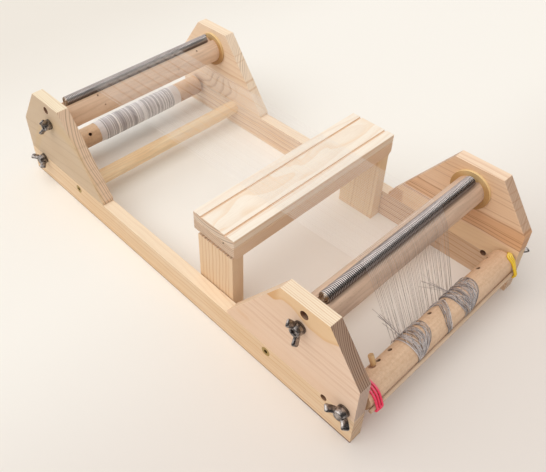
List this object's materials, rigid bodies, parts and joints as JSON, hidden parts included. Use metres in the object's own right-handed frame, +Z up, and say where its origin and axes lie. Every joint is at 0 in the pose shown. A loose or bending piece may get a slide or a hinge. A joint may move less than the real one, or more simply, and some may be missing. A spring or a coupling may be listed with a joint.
{
  "type": "bead loom",
  "caption": "Table-top bead loom: pine side frames with end cheeks, spring-topped warp rollers, lower take-up rollers clamped by wing nuts, and a sliding wooden bridge under the warp.",
  "frame": {"origin": "middle of the whole loom's length and width, on the table it stands on", "axes": "+X across the loom to the right as seen from the near end, +Y along the rails towards the far end, +Z up"},
  "size_m": [0.29, 0.5228, 0.1265],
  "materials": {
    "pine": "planed, unfinished",
    "beech": "turned, unfinished",
    "dowel": "turned, unfinished",
    "plywood": "sawn and sanded",
    "spring_steel": "drawn wire, slightly dull",
    "zinc": "bright zinc plate",
    "brass": "yellow passivated",
    "grey_thread": "twisted thread",
    "white_thread": "twisted thread",
    "paper": "plain",
    "pink_elastic": "matt",
    "yellow_elastic": "matt"
  },
  "bodies": {
    "frame": {"left_rail": "pine", "right_rail": "pine", "near_left_cheek": "pine", "near_right_cheek": "pine", "far_left_cheek": "pine", "far_right_cheek": "pine", "near_crossbar": "dowel", "far_crossbar": "dowel", "crossbar_screws": "brass", "warp_threads": "grey_thread"},
    "near_spring_roller": {"near_upper_roller": "beech", "near_flanges": "plywood", "near_spring": "spring_steel", "near_upper_studs": "zinc", "near_upper_washers": "zinc"},
    "far_spring_roller": {"far_upper_roller": "beech", "far_flanges": "plywood", "far_spring": "spring_steel", "far_upper_studs": "zinc", "far_upper_washers": "zinc"},
    "near_warp_roller": {"near_lower_roller": "beech", "near_lower_studs": "zinc", "near_lower_washers": "zinc", "near_lock_nuts": "zinc", "tie_rod": "dowel", "pink_elastic": "pink_elastic", "yellow_elastic": "yellow_elastic", "left_bundle": "grey_thread", "middle_bundle": "grey_thread", "right_bundle": "grey_thread"},
    "far_warp_roller": {"far_lower_roller": "beech", "far_lower_studs": "zinc", "far_lower_washers": "zinc", "far_lock_nuts": "zinc", "far_peg": "dowel", "paper_sleeve": "paper", "warp_roll": "grey_thread", "warp_roll_thread": "white_thread"},
    "bridge": {"bridge_top_board": "pine", "bridge_low_board": "pine", "bridge_left_leg": "pine", "bridge_right_leg": "pine", "bridge_nails": "spring_steel"},
    "peg": {"stop_peg": "dowel"},
    "near_upper_left_wing_nut": {"near_upper_left_nut": "zinc"},
    "near_upper_right_wing_nut": {"near_upper_right_nut": "zinc"},
    "far_upper_left_wing_nut": {"far_upper_left_nut": "zinc"},
    "far_upper_right_wing_nut": {"far_upper_right_nut": "zinc"},
    "near_lower_left_wing_nut": {"near_lower_left_nut": "zinc"},
    "near_lower_right_wing_nut": {"near_lower_right_nut": "zinc"},
    "far_lower_left_wing_nut": {"far_lower_left_nut": "zinc"},
    "far_lower_right_wing_nut": {"far_lower_right_nut": "zinc"}
  },
  "joints": [
    {"name": "bridge_slide", "type": "slide", "parent": "frame", "child": "bridge", "axis": [0, 1, 0], "range_m": [-0.05, 0.193]},
    {"name": "near_spring_roller_turn", "type": "hinge", "parent": "frame", "child": "near_spring_roller", "pos_m": [0, -0.18992, 0.0993], "axis": [-1, 0, 0], "range_deg": [0, 180]},
    {"name": "far_spring_roller_turn", "type": "hinge", "parent": "frame", "child": "far_spring_roller", "pos_m": [0, 0.19668, 0.0993], "axis": [1, 0, 0], "range_deg": [0, 180]},
    {"name": "near_warp_roller_turn", "type": "hinge", "parent": "frame", "child": "near_warp_roller", "pos_m": [0, -0.24342, 0.0392], "axis": [1, 0, 0], "range_deg": [-150, 105]},
    {"name": "far_warp_roller_turn", "type": "hinge", "parent": "frame", "child": "far_warp_roller", "pos_m": [0, 0.23298, 0.0301], "axis": [1, 0, 0], "continuous": true},
    {"name": "peg_pull", "type": "slide", "parent": "near_warp_roller", "child": "peg", "axis": [0, 0.5878, 0.809], "range_m": [0, 0.008]},
    {"name": "near_upper_left_nut_turn", "type": "hinge", "parent": "near_spring_roller", "child": "near_upper_left_wing_nut", "pos_m": [-0.135, -0.18992, 0.0993], "axis": [-1, 0, 0], "continuous": true},
    {"name": "near_upper_right_nut_turn", "type": "hinge", "parent": "near_spring_roller", "child": "near_upper_right_wing_nut", "pos_m": [0.135, -0.18992, 0.0993], "axis": [1, 0, 0], "continuous": true},
    {"name": "far_upper_left_nut_turn", "type": "hinge", "parent": "far_spring_roller", "child": "far_upper_left_wing_nut", "pos_m": [-0.135, 0.19668, 0.0993], "axis": [-1, 0, 0], "continuous": true},
    {"name": "far_upper_right_nut_turn", "type": "hinge", "parent": "far_spring_roller", "child": "far_upper_right_wing_nut", "pos_m": [0.135, 0.19668, 0.0993], "axis": [1, 0, 0], "continuous": true},
    {"name": "near_lower_left_nut_turn", "type": "hinge", "parent": "near_warp_roller", "child": "near_lower_left_wing_nut", "pos_m": [-0.135, -0.24342, 0.0392], "axis": [-1, 0, 0], "continuous": true},
    {"name": "near_lower_right_nut_turn", "type": "hinge", "parent": "near_warp_roller", "child": "near_lower_right_wing_nut", "pos_m": [0.135, -0.24342, 0.0392], "axis": [1, 0, 0], "continuous": true},
    {"name": "far_lower_left_nut_turn", "type": "hinge", "parent": "far_warp_roller", "child": "far_lower_left_wing_nut", "pos_m": [-0.135, 0.23298, 0.0301], "axis": [-1, 0, 0], "continuous": true},
    {"name": "far_lower_right_nut_turn", "type": "hinge", "parent": "far_warp_roller", "child": "far_lower_right_wing_nut", "pos_m": [0.135, 0.23298, 0.0301], "axis": [1, 0, 0], "continuous": true}
  ]
}
